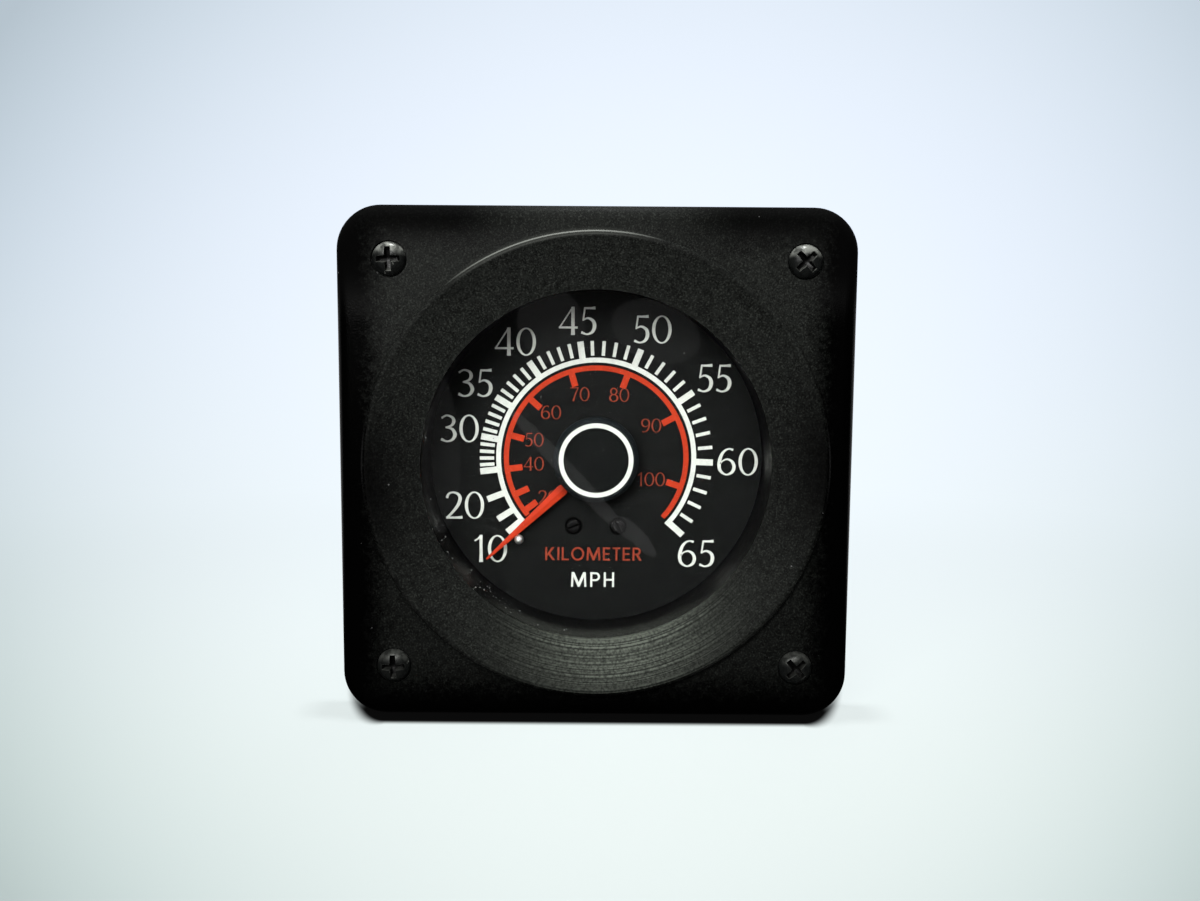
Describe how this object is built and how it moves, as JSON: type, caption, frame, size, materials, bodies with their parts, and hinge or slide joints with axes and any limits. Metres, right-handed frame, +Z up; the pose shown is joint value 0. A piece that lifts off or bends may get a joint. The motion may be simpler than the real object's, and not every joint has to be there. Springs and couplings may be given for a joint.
{
  "type": "boat speedometer",
  "caption": "Square-bezel pitot-pressure boat speedometer: round rear case, recessed dial with two speed scales, pointer driven by a curved pressure tube through a link, sector and pinion.",
  "frame": {"origin": "on the gauge's axis in the panel plane, where the rear face of the gasket meets the front of the dashboard", "axes": "the dial faces -Y, +Y runs along the gauge's axis to the rear, +Z is up, +X is to the viewer's right"},
  "size_m": [0.1154, 0.077, 0.1154],
  "materials": {
    "bezel_plastic": "fine moulded grain, concentric turned lines on the ring",
    "case_plastic": "smooth moulded",
    "black_screw": "black oxide, slightly worn",
    "clear_lens": "clear, polished",
    "seal_rubber": "matt",
    "dial_black": "satin black paint",
    "print_white": "printed ink",
    "print_red": "printed ink",
    "pointer_orange": "bright paint",
    "hub_black": "semi-gloss moulded",
    "brass": "machined",
    "tube_bronze": "drawn tube",
    "bright_steel": "turned",
    "spring_steel": "blued strip",
    "zinc_steel": "zinc plated",
    "tinned_terminal": "tinned",
    "socket_plastic": "smooth moulded",
    "bulb_glass": "clear"
  },
  "bodies": {
    "housing": {"bezel": "bezel_plastic", "bezel_screws": "black_screw", "lens": "clear_lens", "lens_seal": "seal_rubber", "panel_gasket": "seal_rubber", "case": "case_plastic", "dial": "dial_black", "mph_scale": "print_white", "kmh_scale": "print_red", "dial_screws": "black_screw", "dial_posts": "brass", "stop_pin": "bright_steel", "arbor_bushes": "brass", "front_plate": "brass", "rear_plate": "brass", "plate_pillars": "brass", "movement_screws": "zinc_steel", "hairspring": "spring_steel", "spring_stud": "brass", "bourdon_tube": "tube_bronze", "bourdon_socket": "brass", "inlet_seal": "seal_rubber", "inlet_washer": "zinc_steel", "inlet_nut": "brass", "hose_nipple": "brass", "mounting_studs": "zinc_steel", "lamp_socket": "socket_plastic", "lamp_bulb": "bulb_glass", "lamp_terminals": "tinned_terminal"},
    "pointer": {"pinion_arbor": "bright_steel", "pointer_boss": "brass", "pointer_blade": "pointer_orange", "hub_cap": "hub_black", "hub_ring": "print_white", "spring_collet": "brass"},
    "sector": {"sector_gear": "brass", "sector_arbor": "bright_steel", "tail_pin": "bright_steel"},
    "link": {"link": "brass"},
    "tube_tip": {"tip_lug": "brass", "tip_pin": "bright_steel"}
  },
  "joints": [
    {"name": "pointer_spin", "type": "hinge", "parent": "housing", "child": "pointer", "pos_m": [0, 0.018, 0], "axis": [0, 1, 0], "range_deg": [0, 268], "stiffness_Nm_per_rad": 0.00005, "springref_deg": -34.38, "deforming": ["hairspring"]},
    {"name": "sector_swing", "type": "hinge", "parent": "housing", "child": "sector", "pos_m": [0.01432, 0.02, -0.01813], "axis": [0, 1, 0], "range_deg": [-26.8, 0]},
    {"name": "tube_tip_flex", "type": "hinge", "parent": "housing", "child": "tube_tip", "pos_m": [-0.00547, 0.019, 0.00861], "axis": [0, 1, 0], "range_deg": [-6.01, 0], "deforming": ["bourdon_tube"]},
    {"name": "link_swing", "type": "hinge", "parent": "sector", "child": "link", "pos_m": [0.02099, 0.0185, -0.02355], "axis": [0, 1, 0], "range_deg": [0, 26.33]}
  ],
  "couplings": [
    {"joint": "sector_swing", "follows": "pointer_spin", "ratio": -0.1},
    {"joint": "tube_tip_flex", "follows": "pointer_spin", "ratio": -0.02241},
    {"joint": "link_swing", "follows": "pointer_spin", "ratio": 0.098264}
  ]
}
